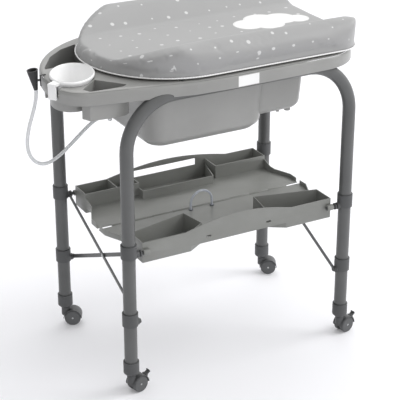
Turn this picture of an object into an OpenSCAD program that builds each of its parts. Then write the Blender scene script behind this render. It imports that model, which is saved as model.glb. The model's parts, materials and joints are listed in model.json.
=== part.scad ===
// Folding changing table: two tube frames, a hinged shelf, a bath with a tray and a padded mat.
// X runs along the table, with the tray at -X. Y runs from the front frame to the rear one. Z is up.

/* [Stand] */
// Distance between the left and right legs, centre to centre
leg_dx = 720; // [640:5:800]
// Distance between the front and rear legs, centre to centre
leg_dy = 466; // [440:2:500]
// Outer diameter of the frame tube
tube_d = 38; // [32:1:44]
// Wall of the frame tube
tube_wall = 1.5; // [1:0.1:3]
// Height where the legs start to bend
bend_z = 742; // [700:2:800]
// Radius of the tube bend, to the tube's centre line
bend_r = 150; // [120:2:170]
// Running clearance between a tube and the collars on it, per side
fit_gap = 0.08; // [0.03:0.01:0.1]

/* [Collars and braces] */
// Outer diameter of the collars on the legs
collar_d = 46; // [42:1:54]
// Height of each collar
collar_h = 40; // [30:1:60]
// Height of the middle of the upper collars
collar_up_z = 455; // [420:1:490]
// Height of the middle of the lower collars
collar_low_z = 242; // [200:1:280]
// Height of the shelf pivots on the upper collars
shelf_pivot_z = 440; // [425:1:460]
// Height of the brace pivots on the lower collars
brace_low_z = 228; // [215:1:250]
// Width of a brace bar
bar_w = 12; // [8:1:18]
// Thickness of a brace bar
bar_t = 3; // [2:0.5:4]
// Diameter of the lower brace pins
brace_pin_d = 8; // [6:1:10]
// Diameter of the shelf pivot pins
shelf_pin_d = 10; // [8:1:12]

/* [Shelf] */
// Height of the shelf's middle hinge
shelf_hinge_z = 422; // [415:1:430]
// Wall of the shelf moulding
shelf_wall = 2.5; // [2:0.5:4]
// Half length of the shelf between the collars
shelf_half_x = 314; // [280:2:330]
// Half length of the shelf at its flared ends
shelf_flare_x = 345; // [316:1:350]
// Height of the pocket rims
pocket_top_z = 466; // [450:1:480]
// Height of the pocket bottoms, underneath
pocket_low_z = 404; // [395:1:412]
// Top of the arched long walls at the middle
arch_top_z = 492; // [475:1:510]
// Diameter of the hinge pin
hinge_pin_d = 4; // [3:0.5:5]
// Diameter of the pull loop's cord
loop_d = 7; // [5:0.5:9]

/* [Castors] */
// Wheel diameter
wheel_d = 50; // [40:1:60]
// Width of one wheel of a pair
wheel_w = 14; // [10:1:18]
// Distance from the swivel axis to the axle
trail = 22; // [16:1:28]
// Height of the top of the leg sleeves
sleeve_top_z = 105; // [95:1:120]
// Height of the bottom of the leg sleeves
sleeve_low_z = 62; // [60:1:70]
// Diameter of the swivel stem
stem_d = 10; // [8:1:12]
// Diameter of the axle
axle_d = 6; // [5:0.5:8]
// Direction of the front castors, in degrees from +X
front_castor_deg = 13; // [-180:1:180]
// Direction of the rear castors, in degrees from +X
rear_castor_deg = -28; // [-180:1:180]

/* [Bath] */
// Height of the bath rim's top
rim_top_z = 928; // [915:1:940]
// Depth of the rim's skirt
skirt_h = 38; // [25:1:45]
// Wall of the bath moulding
bath_wall = 3; // [2:0.5:5]
// Half width of the rim at its right end
rim_half = 266; // [258:1:280]
// How far the long edges bow out
rim_bow = 6; // [0:1:12]
// Right end of the rim
rim_right = 407; // [390:1:430]
// Left end of the tray
tray_left = 513; // [500:1:530]
// Radius of the rim's right corners
end_r = 150; // [100:2:180]
// Height of the underside of the bath
bath_low_z = 718; // [700:1:760]
// Height of the underside of the bath's shallow end
shallow_low_z = 757; // [740:1:800]
// Bore of the drain spout
drain_bore = 8; // [6:1:12]

/* [Mat] */
// Thickness of the mat's board
board_t = 4; // [3:0.5:6]
// Thickness of the mat's middle
mat_t = 27; // [20:1:40]
// Height of the bolsters above the board
bolster_h = 82; // [60:1:100]
// Half width of the mat
mat_half = 261; // [240:1:262]
// Right end of the mat
mat_right = 385; // [360:1:395]
// Left end of the mat
mat_left = 372; // [350:1:376]

/* [Accessories] */
// Half length of the oval cup at its rim
cup_a = 82; // [70:1:90]
// Half width of the oval cup at its rim
cup_b = 60; // [50:1:64]
// Depth of the cup
cup_h = 80; // [60:1:90]
// Outer diameter of the drain hose
hose_d = 10; // [8:0.5:12]

/* [Hidden] */

$fn = 64;
tube_r = tube_d/2;
leg_x = leg_dx/2;
leg_y = leg_dy/2;
leg_foot_z = sleeve_low_z + 4;
collar_r = collar_d/2;
gap = 0.5;
hinge_gap = 0.05;

// Planes across the stand's ends, as distances from its middle.
ear_a_x = leg_x - 25.5;
bar_a_x = ear_a_x - gap - bar_t/2;
bar_b_x = bar_a_x - bar_t - 2*gap;
ear_b_x = bar_b_x + bar_t/2 + gap;
pin_root_x = leg_x - tube_r - 2;

brace_rise = shelf_pivot_z - brace_low_z;
brace_deg = atan2(brace_rise, leg_dy);
brace_len = sqrt(leg_dy*leg_dy + brace_rise*brace_rise);
bar_short = shelf_pin_d/2 + 2;

axle_z = wheel_d/2;
hood_r = wheel_d/2 + 3.5;
web_t = 8;
wheel_gap = 0.6;
castor_w = web_t + 2*wheel_w + 4*wheel_gap;
neck_top_z = sleeve_low_z - 3;

deck_t = bath_wall;
skirt_low_z = rim_top_z - skirt_h;
arch_top = bend_z + bend_r + tube_r;

hinge_y = rim_half;
leaf_t = 1.3;
board_z = rim_top_z + 2*leaf_t + 0.8;
cushion_z = board_z + board_t;
mat_hinge_z = cushion_z;
mat_hinge_r = 4;

cup_x = -440;
cup_y = -75;
cup_deg = 62;
cup_rim_z = rim_top_z + 14;
handle_turn = 28;
handle_w = 18;
handle_reach = 20;
left_reach = -cup_x + (cup_a + handle_reach)*cos(cup_deg - handle_turn) + handle_w/2*sin(cup_deg - handle_turn);

brake_deg = 28;
brake_r = hood_r + 3.5;
brake_half = 6.8;
brake_len = 16;
brake_tip = (brake_r + brake_len)*cos(brake_deg) + 2*sin(brake_deg);
right_reach = leg_x + (trail + brake_tip)*cos(front_castor_deg) + brake_half*sin(abs(front_castor_deg));
origin_x = (left_reach - right_reach)/2;

spout_y = 56;
spout_z = 742;
spout_x = -262;
nozzle_x = -524;
nozzle_y = -20;
nozzle_low_z = 890;
nozzle_h = 58;

// The hose's route, from the nozzle's lower end to the drain spout.
hose_route = [
    [-524, -20, 890], [-524, -20, 875], [-526, -18, 855], [-532, -13, 826], [-540, -7, 795],
    [-546, -1, 764], [-548, 5, 733], [-545, 10, 704], [-534, 15, 678], [-516, 20, 658],
    [-494, 25, 648], [-470, 31, 648], [-446, 36, 656], [-422, 41, 669], [-398, 45, 685],
    [-374, 49, 702], [-350, 52, 719], [-328, 55, 733], [-312, 56, 740], [-302, 56, 742]
];

function arc(cx, cy, r, a0, a1, n) =
    [for (i = [0:n]) let (a = a0 + (a1 - a0)*i/n) [cx + r*cos(a), cy + r*sin(a)]];

tray_r = 356;
tray_corner_r = 90;
rim_points = concat(
    arc(rim_right - end_r, end_r - rim_half, end_r, -90, 0, 12),
    arc(rim_right - end_r, rim_half - end_r, end_r, 0, 90, 12),
    [[-40, rim_half + rim_bow]],
    arc(tray_r - tray_left, rim_half - tray_r, tray_r, 90, 178, 16),
    arc(tray_corner_r - tray_left, -122, tray_corner_r, 180, 250, 8),
    [[-160, -rim_half], [-40, -rim_half - rim_bow]]
);

module place() {
    translate([origin_x, 0, 0]) children();
}

// ---- Frames ----

module bent_tube(d) {
    run = leg_dx - 2*bend_r;
    for (s = [-1, 1]) {
        translate([s*leg_x, 0, leg_foot_z]) cylinder(d = d, h = bend_z - leg_foot_z);
        translate([s*(leg_x - bend_r), 0, bend_z])
            rotate([90, 0, 0])
                rotate([0, 0, s > 0 ? 0 : 90])
                    rotate_extrude(angle = 90) translate([bend_r, 0]) circle(d = d);
    }
    translate([-run/2, 0, bend_z + bend_r]) rotate([0, 90, 0]) cylinder(d = d, h = run);
}

module frame_arch(y) {
    color("dimgray") place() translate([0, y, 0]) difference() {
        bent_tube(tube_d);
        bent_tube(tube_d - 2*tube_wall);
        for (s = [-1, 1]) translate([s*leg_x, 0, leg_foot_z - 1]) cylinder(d = tube_d - 2*tube_wall, h = 3);
    }
}

// ---- Collars and pins ----

module collar_pair(y, z, ear_z, ear_x, pin_d) {
    color("#4a4a4b") place() for (s = [-1, 1]) difference() {
        union() {
            translate([s*leg_x, y, z - collar_h/2]) cylinder(r = collar_r, h = collar_h);
            translate([s*ear_x, y, ear_z]) rotate([0, s*90, 0]) cylinder(r = bar_w*0.85, h = leg_x - ear_x - tube_r);
        }
        translate([s*leg_x, y, z - collar_h]) cylinder(r = tube_r + fit_gap, h = 2*collar_h);
        translate([s*(ear_x - 1), y, ear_z]) rotate([0, s*90, 0]) cylinder(d = pin_d, h = leg_x - ear_x - tube_r);
    }
}

// A pin from the collar inwards, with a round head that hides the end of the bar beside it.
module pin_pair(y, z, d, tip_x, head_x, head_t, head_r) {
    color("#303031") place() for (s = [-1, 1]) {
        translate([s*tip_x, y, z]) rotate([0, s*90, 0]) cylinder(d = d, h = pin_root_x - tip_x);
        translate([s*(head_x - head_t), y, z]) rotate([0, s*90, 0]) cylinder(r = head_r, h = head_t);
    }
}

// ---- Braces ----

module bar_outline() {
    end = brace_len - bar_short - bar_w/2;
    difference() {
        union() {
            translate([0, -bar_w/2]) square([end, bar_w]);
            circle(d = bar_w + 4);
            translate([end, 0]) circle(d = bar_w);
        }
        circle(r = brace_pin_d/2 + hinge_gap);
    }
}

// Turns the XY outline of a bar into the YZ plane, from its lower pin upwards.
module brace(s, plane_x, from_front) {
    dir = from_front ? 1 : -1;
    color("#5c5c5d") place()
        translate([s*plane_x - bar_t/2, -dir*leg_y, brace_low_z])
            rotate([dir*brace_deg, 0, 0])
                rotate([90, 0, 90])
                    linear_extrude(bar_t) scale_dir(dir) bar_outline();
}

module scale_dir(dir) {
    if (dir > 0) children();
    else mirror([1, 0, 0]) children();
}

// One head of the middle rivet, on the outer or the inner face of its own bar.
module rivet(s, plane_x, outward) {
    face = plane_x + outward*bar_t/2;
    color("#7a7a7b") place() translate([s*face, 0, (brace_low_z + shelf_pivot_z)/2])
        rotate([0, s*outward*90, 0]) {
            cylinder(r = 5.5, h = 1.5);
            cylinder(r = 3.5, h = 2.4);
        }
}

// ---- Shelf ----

shelf_floor_z = shelf_hinge_z + 1.5;
floor_t = 3;
knuckle_r = 4.5;
knuckle_n = 9;
shelf_rim_y = leg_y - 7;
boss_r = 9;
boss_len = 20;

module shelf_outline() {
    polygon([
        [-shelf_flare_x, 6], [-shelf_flare_x, 45], [-shelf_half_x, 115], [-shelf_half_x, shelf_rim_y],
        [shelf_half_x, shelf_rim_y], [shelf_half_x, 115], [shelf_flare_x, 45], [shelf_flare_x, 6]
    ]);
}

// The rim's height along Y, drawn in the YZ plane.
module rim_profile() {
    polygon([
        [5, shelf_floor_z - floor_t], [5, shelf_floor_z + 12], [100, shelf_floor_z + 14],
        [165, pocket_top_z - 8], [shelf_rim_y + 1, pocket_top_z], [shelf_rim_y + 1, shelf_floor_z - floor_t]
    ]);
}

band_x = 150;
band_y = 180;
band_rise = 16;

// The floor climbs to the foot of the long wall between the pockets.
module rising_band() {
    z0 = shelf_floor_z - floor_t;
    translate([-band_x, 0, 0]) rotate([90, 0, 90]) linear_extrude(2*band_x) polygon([
        [band_y, z0], [shelf_rim_y, z0 + band_rise], [shelf_rim_y, z0 + band_rise + floor_t], [band_y, z0 + floor_t]
    ]);
}

module end_walls() {
    intersection() {
        translate([0, 0, shelf_floor_z - floor_t]) linear_extrude(80) difference() {
            shelf_outline();
            offset(delta = -shelf_wall) shelf_outline();
            translate([-400, 0]) square([800, 6 + 2*shelf_wall]);
        }
        translate([-400, 0, 0]) rotate([90, 0, 90]) linear_extrude(800) rim_profile();
    }
}

module pocket_outer(points, top) {
    translate([0, 0, pocket_low_z]) linear_extrude(top - pocket_low_z) polygon(points);
}

module pocket_inner(points) {
    translate([0, 0, pocket_low_z + shelf_wall]) linear_extrude(120)
        offset(delta = -shelf_wall) polygon(points);
}

// A long wall whose top is an arc between two ends.
module arched_wall(x0, x1, y, end_z, foot_z) {
    mid = (x0 + x1)/2;
    half = (x1 - x0)/2;
    top = [for (i = [12:-1:-12]) [mid + half*i/12, end_z + (arch_top_z - end_z)*cos(i*90/12)]];
    translate([0, y + shelf_wall, 0]) rotate([90, 0, 0]) linear_extrude(shelf_wall)
        polygon(concat([[x0, foot_z], [x1, foot_z]], top));
}

// Hinge knuckles take turns: even ones on the front half, odd ones on the rear half.
module knuckles(odd) {
    pitch = 2*(shelf_half_x - 14)/knuckle_n;
    for (i = [odd:2:knuckle_n - 1]) {
        x = -shelf_half_x + 14 + i*pitch;
        translate([x + 0.5, 0, shelf_hinge_z]) rotate([0, 90, 0]) cylinder(r = knuckle_r, h = pitch - 1);
        translate([x + 0.5, 0, shelf_floor_z - floor_t]) cube([pitch - 1, 8, floor_t]);
    }
}

// Both halves are drawn on the +Y side. The front half is turned over to -Y.
module shelf_half(pockets, pocket_tops, odd, wall_x, foot_z) {
    difference() {
        union() {
            translate([0, 0, shelf_floor_z - floor_t]) linear_extrude(floor_t) difference() {
                shelf_outline();
                translate([-band_x, band_y]) square([2*band_x, 100]);
            }
            rising_band();
            end_walls();
            arched_wall(-wall_x, wall_x, shelf_rim_y - shelf_wall, pocket_top_z - 6, foot_z);
            for (i = [0:len(pockets) - 1]) pocket_outer(pockets[i], pocket_tops[i]);
            for (s = [-1, 1]) translate([s*(shelf_half_x + 2 - boss_len), leg_y, shelf_pivot_z])
                rotate([0, s*90, 0]) cylinder(r = boss_r, h = boss_len);
            knuckles(odd);
        }
        for (p = pockets) pocket_inner(p);
        for (s = [-1, 1]) translate([s*(shelf_half_x - boss_len - 4), leg_y, shelf_pivot_z])
            rotate([0, s*90, 0]) cylinder(r = shelf_pin_d/2 + hinge_gap, h = boss_len + 12);
        translate([-shelf_half_x, 0, shelf_hinge_z]) rotate([0, 90, 0])
            cylinder(r = hinge_pin_d/2 + hinge_gap, h = 2*shelf_half_x);
        other_knuckles(1 - odd);
    }
}

// Room for the other half's knuckles.
module other_knuckles(odd) {
    pitch = 2*(shelf_half_x - 14)/knuckle_n;
    for (i = [odd:2:knuckle_n - 1])
        translate([-shelf_half_x + 14 + i*pitch, 0, shelf_hinge_z]) rotate([0, 90, 0])
            cylinder(r = knuckle_r + 0.8, h = pitch);
}

pocket_y = shelf_rim_y;
front_pocket = [[-shelf_half_x, 150], [-118, 104], [-104, 190], [-160, pocket_y], [-shelf_half_x, pocket_y]];
rear_left = [[-shelf_half_x, 152], [-206, 152], [-206, pocket_y], [-shelf_half_x, pocket_y]];
rear_small = [[-206 - shelf_wall, 152], [-134, 152], [-134, pocket_y], [-206 - shelf_wall, pocket_y]];
rear_middle = [[-134 - shelf_wall, 122], [110, 122], [134 + shelf_wall, pocket_y], [-134 - shelf_wall, pocket_y]];
rear_right = [[134, 152], [shelf_half_x, 152], [shelf_half_x, pocket_y], [134, pocket_y]];

function flip_x(points) = [for (i = [len(points) - 1:-1:0]) [-points[i][0], points[i][1]]];

module shelf_front() {
    color("#8c8c8a") place() mirror([0, 1, 0]) difference() {
        shelf_half([front_pocket, flip_x(front_pocket)], [pocket_top_z, pocket_top_z], 0, 200, shelf_floor_z + 10);
        // Two small slots through the arched wall.
        for (x = [-110, 90]) translate([x, shelf_rim_y - 10, shelf_floor_z + 12]) cube([16, 20, 6]);
    }
}

module shelf_rear() {
    color("#8c8c8a") place() difference() {
        shelf_half(
            [rear_left, rear_small, rear_middle, rear_right],
            [pocket_top_z, pocket_top_z, pocket_top_z - 16, pocket_top_z], 1, 240, shelf_floor_z - floor_t);
        // The long hand slot under the arched rim.
        translate([-120, shelf_rim_y - 10, pocket_top_z - 14]) cube([220, 20, 22]);
    }
}

module shelf_hinge_pin() {
    color("silver") place() translate([-shelf_half_x + 16, 0, shelf_hinge_z]) rotate([0, 90, 0])
        cylinder(d = hinge_pin_d, h = 2*shelf_half_x - 32);
}

loop_x = -10;
loop_y = -16;
loop_r = 36;
loop_foot_z = shelf_floor_z + 2;

module pull_loop() {
    color("lightsteelblue") place() translate([loop_x, loop_y, loop_foot_z]) {
        for (s = [-1, 1]) translate([s*loop_r, 0, 0]) cylinder(d = loop_d, h = 18);
        translate([0, 0, 18]) rotate([90, 0, 0]) rotate_extrude(angle = 180) translate([loop_r, 0]) circle(d = loop_d);
    }
}

module loop_anchors() {
    color("slategray") place() for (s = [-1, 1])
        translate([loop_x + s*loop_r, loop_y, shelf_floor_z]) cylinder(r = 7, h = 2);
}

// ---- Castors ----

module at_leg(sx, sy, deg) {
    place() translate([sx*leg_x, sy*leg_y, 0]) rotate([0, 0, deg]) children();
}

module sleeve_pair(y) {
    color("#4a4a4b") place() for (s = [-1, 1]) translate([s*leg_x, y, 0]) difference() {
        union() {
            translate([0, 0, sleeve_low_z + 6]) cylinder(r = collar_r, h = sleeve_top_z - sleeve_low_z - 6);
            translate([0, 0, sleeve_low_z]) cylinder(r1 = collar_r - 6, r2 = collar_r, h = 6);
        }
        difference() {
            translate([0, 0, leg_foot_z]) cylinder(r = tube_r + fit_gap, h = sleeve_top_z);
            cylinder(r = tube_r - tube_wall - fit_gap, h = leg_foot_z + 26);
        }
        translate([0, 0, sleeve_low_z - 1]) cylinder(r = stem_d/2 + hinge_gap, h = 60);
    }
}

module stem(sx, sy) {
    color("silver") at_leg(sx, sy, 0) translate([0, 0, neck_top_z - 12])
        cylinder(d = stem_d, h = leg_foot_z + 22 - neck_top_z + 12);
}

module hood(sx, sy, deg) {
    color("#3c3c3d") at_leg(sx, sy, deg) difference() {
        union() {
            translate([0, 0, axle_z + 8]) cylinder(r = 13, h = neck_top_z - axle_z - 8);
            translate([trail, castor_w/2, axle_z]) rotate([90, 0, 0]) cylinder(r = hood_r, h = castor_w);
            if (sy < 0) brake_ears();
        }
        // The lower half of the cover is open to the floor.
        difference() {
            translate([trail - 40, -40, -10]) cube([80, 80, axle_z + 10]);
            translate([trail, web_t/2, axle_z]) rotate([90, 0, 0]) cylinder(r = 12, h = web_t);
        }
        for (s = [-1, 1]) translate([trail, s*(web_t/2), axle_z]) rotate([-s*90, 0, 0])
            cylinder(r = wheel_d/2 + 1.2, h = castor_w);
        translate([trail, castor_w, axle_z]) rotate([90, 0, 0]) cylinder(d = axle_d, h = 2*castor_w);
        translate([0, 0, neck_top_z - 12]) cylinder(d = stem_d, h = 40);
        at_brake() rotate([90, 0, 0]) cylinder(r = brake_pin_r + hinge_gap, h = 30, center = true);
    }
}

ear_t = 2.2;
brake_pin_r = 1.5;

// The frame of the brake lever: its pivot beside the cover, turned outwards.
module at_brake() {
    translate([trail, 0, axle_z]) rotate([0, -brake_deg, 0]) translate([brake_r, 0, 0]) children();
}

module brake_ears() {
    for (s = [-1, 1]) at_brake() translate([0, s*(brake_half + 0.2 + ear_t/2), 0]) {
        rotate([90, 0, 0]) cylinder(r = 3.2, h = ear_t, center = true);
        translate([-2.8, 0, 0]) cube([5.6, ear_t, 6.4], center = true);
    }
}

module axle(sx, sy, deg) {
    color("silver") at_leg(sx, sy, deg) translate([trail, castor_w/2 - 1, axle_z]) rotate([90, 0, 0])
        cylinder(d = axle_d, h = castor_w - 2);
}

module wheels(sx, sy, deg) {
    color("#5f5f60") at_leg(sx, sy, deg) for (s = [-1, 1])
        translate([trail, s*(web_t/2 + wheel_gap), axle_z]) rotate([-s*90, 0, 0]) difference() {
            union() {
                cylinder(d = wheel_d - 3, h = wheel_w);
                translate([0, 0, 1]) cylinder(d = wheel_d, h = wheel_w - 3);
            }
            translate([0, 0, -1]) cylinder(r = axle_d/2 + hinge_gap, h = wheel_w + 2);
        }
}

// A tab on a short barrel that turns between the two ears.
module brake(sx, sy, deg) {
    color("#2e2e2f") at_leg(sx, sy, deg) at_brake() {
        rotate([90, 0, 0]) cylinder(r = 3, h = 2*brake_half, center = true);
        rotate([90, 0, 0]) cylinder(r = brake_pin_r, h = 2*(brake_half + 0.2 + ear_t), center = true);
        translate([0, -brake_half, -2]) cube([brake_len, 2*brake_half, 4]);
        translate([brake_len - 3, -brake_half, -2]) cube([3, 2*brake_half, 8]);
    }
}

// ---- Bath ----

// A thin slab with rounded corners, for the bath's drafted walls.
slab_t = 0.01;

module slab(x0, x1, half_y, r, z) {
    translate([0, 0, z]) linear_extrude(slab_t) hull_rect(x0, x1, half_y, r);
}

module hull_rect(x0, x1, half_y, r) {
    polygon(concat(
        arc(x1 - r, r - half_y, r, -90, 0, 8), arc(x1 - r, half_y - r, r, 0, 90, 8),
        arc(x0 + r, half_y - r, r, 90, 180, 8), arc(x0 + r, r - half_y, r, 180, 270, 8)));
}

module deep_end(t) {
    hull() {
        slab(-288 + t, 122 - t, 207 - t, 60 - t, rim_top_z - slab_t);
        slab(-268 + t, 102 - t, 192 - t, 50 - t, bath_low_z + 22);
        slab(-246 + t, 78 - t, 172 - t, 40 - t, bath_low_z + t);
    }
}

module shallow_end(t) {
    hull() {
        slab(60, 240 - t, 200 - t, 40 - t, rim_top_z - slab_t);
        slab(60, 228 - t, 190 - t, 34 - t, shallow_low_z + 16);
        slab(60, 214 - t, 176 - t, 26 - t, shallow_low_z + t);
    }
}

front_pocket_tray = [[-456, -178], [-396, -122], [-336, -196], [-350, -206], [-395, -206], [-446, -200]];
rear_pocket_tray = [[-478, 20], [-474, 34], [-424, 112], [-372, 158], [-318, 182], [-318, 30], [-390, 24]];
tray_low_z = 846;
seat_low_z = cup_rim_z - cup_h;
seat_a = cup_a - 2;
seat_b = cup_b - 2;

module oval(a, b, z, h) {
    translate([cup_x, cup_y, z]) rotate([0, 0, cup_deg]) linear_extrude(h)
        polygon([for (i = [0:47]) [a*cos(i*7.5), b*sin(i*7.5)]]);
}

module tray_hollow(points, grow) {
    translate([0, 0, tray_low_z + bath_wall - grow]) linear_extrude(120)
        offset(delta = grow) polygon(points);
}

// What the bath must clear: both frame tubes, with a little room.
module arch_room() {
    for (s = [-1, 1]) translate([0, s*leg_y, 0]) bent_tube(tube_d + 2);
}

module bath() {
    color("#a6a6a6") place() difference() {
        union() {
            translate([0, 0, rim_top_z - deck_t]) linear_extrude(deck_t) polygon(rim_points);
            translate([0, 0, skirt_low_z]) linear_extrude(skirt_h) difference() {
                polygon(rim_points);
                offset(delta = -bath_wall) polygon(rim_points);
            }
            deep_end(0);
            shallow_end(0);
            intersection() {
                union() {
                    tray_hollow(front_pocket_tray, bath_wall);
                    tray_hollow(rear_pocket_tray, bath_wall);
                    oval(seat_a + bath_wall, seat_b + bath_wall, seat_low_z - bath_wall, 120);
                }
                linear_extrude(rim_top_z) square(1200, center = true);
            }
        }
        deep_end(bath_wall);
        shallow_end(bath_wall);
        translate([0, 0, rim_top_z - 1]) linear_extrude(5) hull_rect(-285, 237, 200, 50);
        tray_hollow(front_pocket_tray, 0);
        tray_hollow(rear_pocket_tray, 0);
        oval(seat_a, seat_b, seat_low_z, 120);
        arch_room();
        translate([spout_x - 20, spout_y, spout_z]) rotate([0, 90, 0]) cylinder(d = drain_bore + 4, h = 40);
        handle_notch();
        plate_solid();
    }
}

// The notch in the rim where the cup's handle passes.
module handle_notch() {
    translate([cup_x, cup_y, skirt_low_z + 12]) rotate([0, 0, 180 + cup_deg - handle_turn])
        translate([cup_a - 12, -handle_w/2 - 6, 0]) cube([60, handle_w + 12, 60]);
}

saddle_x = 150;

module saddles() {
    top = rim_top_z - deck_t;
    color("#7d7d7c") place() for (sx = [-1, 1]) for (sy = [-1, 1])
        translate([sx*saddle_x, sy*leg_y, 0]) difference() {
            translate([-20, -15, arch_top - 14]) cube([40, 30, top - arch_top + 14]);
            translate([-30, 0, arch_top - tube_r]) rotate([0, 90, 0]) cylinder(r = tube_r + 0.3, h = 60);
        }
}

module bath_feet() {
    color("#6f6f6e") place() {
        translate([162, -158, shallow_low_z - 9]) cylinder(r = 5, h = 9);
        translate([196, -156, shallow_low_z - 11]) cylinder(r = 9, h = 11);
        translate([196, 156, shallow_low_z - 11]) cylinder(r = 9, h = 11);
    }
}

plate_x = -36;
plate_w = 66;
plate_h = 30;

plate_t = 1.2;

module plate_solid() {
    translate([plate_x, -rim_half - rim_bow, rim_top_z - 36])
        rotate([0, 0, atan(rim_bow/(rim_right - end_r + 40))]) cube([plate_w, plate_t, plate_h]);
}

module name_plate() {
    color("white") place() plate_solid();
}

spout_in = 4;
spout_out = 40;

module drain_spout() {
    color("#d8d8d8") place() translate([spout_x, spout_y, spout_z]) rotate([0, -90, 0]) difference() {
        union() {
            translate([0, 0, -spout_in]) cylinder(d = drain_bore + 4, h = spout_in + spout_out);
            translate([0, 0, 8.2]) cylinder(d = 30, h = 4);
        }
        translate([0, 0, -14]) cylinder(d = drain_bore, h = 60);
    }
}

plug_lip = 7;

module drain_plug() {
    color("#50555a") place() translate([spout_x + spout_in + 0.2, spout_y, spout_z]) rotate([0, -90, 0]) {
        translate([0, 0, -5]) cylinder(d = drain_bore + plug_lip, h = 5);
        cylinder(r = drain_bore/2 - hinge_gap, h = 12);
        translate([0, 0, -13]) cylinder(d = 7, h = 9);
    }
}

// ---- Mat ----

mat_corner_r = 70;

module mat_outline(inset) {
    r = mat_half - inset;
    polygon(concat(
        arc(mat_right - inset - mat_corner_r, mat_corner_r - r, mat_corner_r, -90, 0, 8),
        arc(mat_right - inset - mat_corner_r, r - mat_corner_r, mat_corner_r, 0, 90, 8),
        arc(mat_half - mat_left, 0, r, 90, 270, 32)));
}

module mat_board() {
    color("#b9b2a4") place() translate([0, 0, board_z]) linear_extrude(board_t) mat_outline(6);
}

pad_x = 240;

// Soft pads under the front edge, where the board rests on the rim.
module mat_pads() {
    color("#4a4a4a") place() for (x = [pad_x - 430, pad_x])
        translate([x, -rim_half + 30, rim_top_z]) cylinder(r = 9, h = board_z - rim_top_z);
}

bolster_x = -190;

// The bolster's section, drawn in the YZ plane from the board upwards.
module bolster_section(s, h) {
    w = mat_half;
    polygon([
        [s*(w - 2), 0], [s*w, 30*h/bolster_h], [s*(w - 6), h - 22], [s*(w - 18), h - 4], [s*(w - 32), h],
        [s*(w - 56), h - 6], [s*(w - 150), mat_t - 1], [s*(w - 150), 0]
    ]);
}

module bolster_slice(s, x, h) {
    translate([x, 0, cushion_z]) rotate([90, 0, 90]) linear_extrude(0.5) bolster_section(s, h);
}

module mat_cushion() {
    color("#c9c9c9") place() {
        translate([0, 0, cushion_z]) linear_extrude(mat_t) mat_outline(0);
        intersection() {
            union() for (s = [-1, 1]) {
                translate([bolster_x, 0, cushion_z]) rotate([90, 0, 90])
                    linear_extrude(mat_right - bolster_x) bolster_section(s, bolster_h);
                hull() {
                    bolster_slice(s, bolster_x, bolster_h);
                    bolster_slice(s, -350, mat_t + 1);
                }
            }
            translate([0, 0, cushion_z]) linear_extrude(bolster_h + 1) mat_outline(0);
        }
    }
}

leaf_x = 150;
leaf_w = 40;
knuckle_w = 14;

module hinge_leaves_bath() {
    color("silver") place() for (s = [-1, 1]) translate([s*leaf_x, 0, 0]) difference() {
        union() {
            translate([-leaf_w/2, hinge_y - 40, rim_top_z]) cube([leaf_w, 34, leaf_t]);
            translate([-knuckle_w/2, hinge_y - 8, rim_top_z]) cube([knuckle_w, 8, leaf_t]);
            translate([-knuckle_w/2, hinge_y - 1, rim_top_z]) cube([knuckle_w, 4, mat_hinge_z - rim_top_z]);
            translate([-knuckle_w/2, hinge_y, mat_hinge_z]) rotate([0, 90, 0]) cylinder(r = mat_hinge_r, h = knuckle_w);
        }
        translate([-leaf_w, hinge_y, mat_hinge_z]) rotate([0, 90, 0]) cylinder(d = 3, h = 2*leaf_w);
    }
}

module hinge_leaves_mat() {
    low = board_z - leaf_t;
    color("silver") place() for (s = [-1, 1]) translate([s*leaf_x, 0, 0]) difference() {
        union() {
            translate([-leaf_w/2, hinge_y - 44, low]) cube([leaf_w, 38, leaf_t]);
            for (t = [-1, 1]) translate([t*(knuckle_w/2 + 6.5) - 6, 0, 0]) {
                translate([0, hinge_y - 7, low]) cube([12, 8, leaf_t]);
                translate([0, hinge_y - 1, low]) cube([12, 3, mat_hinge_z - low]);
                translate([0, hinge_y, mat_hinge_z]) rotate([0, 90, 0]) cylinder(r = mat_hinge_r, h = 12);
            }
        }
        translate([-leaf_w, hinge_y, mat_hinge_z]) rotate([0, 90, 0]) cylinder(r = 1.5 + hinge_gap, h = 2*leaf_w);
    }
}

module mat_hinge_pins() {
    color("gray") place() for (s = [-1, 1])
        translate([s*leaf_x - leaf_w/2 + 1, hinge_y, mat_hinge_z]) rotate([0, 90, 0]) cylinder(d = 3, h = leaf_w - 2);
}

// ---- Accessories ----

cup_wall = 3;
cup_insets = [20, 14, 8, 4];
lip = 1.5;
lip_h = 8;

// The cup narrows downwards in steps.
module cup_steps(t, up, top) {
    step = cup_h/len(cup_insets);
    for (i = [0:len(cup_insets) - 1])
        oval(cup_a - cup_insets[i] - t, cup_b - cup_insets[i] - t, cup_rim_z - cup_h + i*step + up,
            i < len(cup_insets) - 1 ? step : step + top);
}

module cup() {
    color("white") place() difference() {
        union() {
            cup_steps(0, 0, 0);
            oval(cup_a + lip, cup_b + lip, cup_rim_z - lip_h, lip_h);
            cup_handle();
        }
        cup_steps(cup_wall, cup_wall, 5);
    }
}

// The handle leaves the cup's front left side and hangs over the notch.
module cup_handle() {
    translate([cup_x, cup_y, 0]) rotate([0, 0, 180 + cup_deg - handle_turn])
        translate([cup_a - 10, -handle_w/2, 0]) {
            translate([0, 0, cup_rim_z - 8]) cube([handle_reach + 10, handle_w, 5]);
            translate([handle_reach + 6, 0, cup_rim_z - 44]) cube([4, handle_w, 40]);
        }
}

// ---- Hose ----

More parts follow.
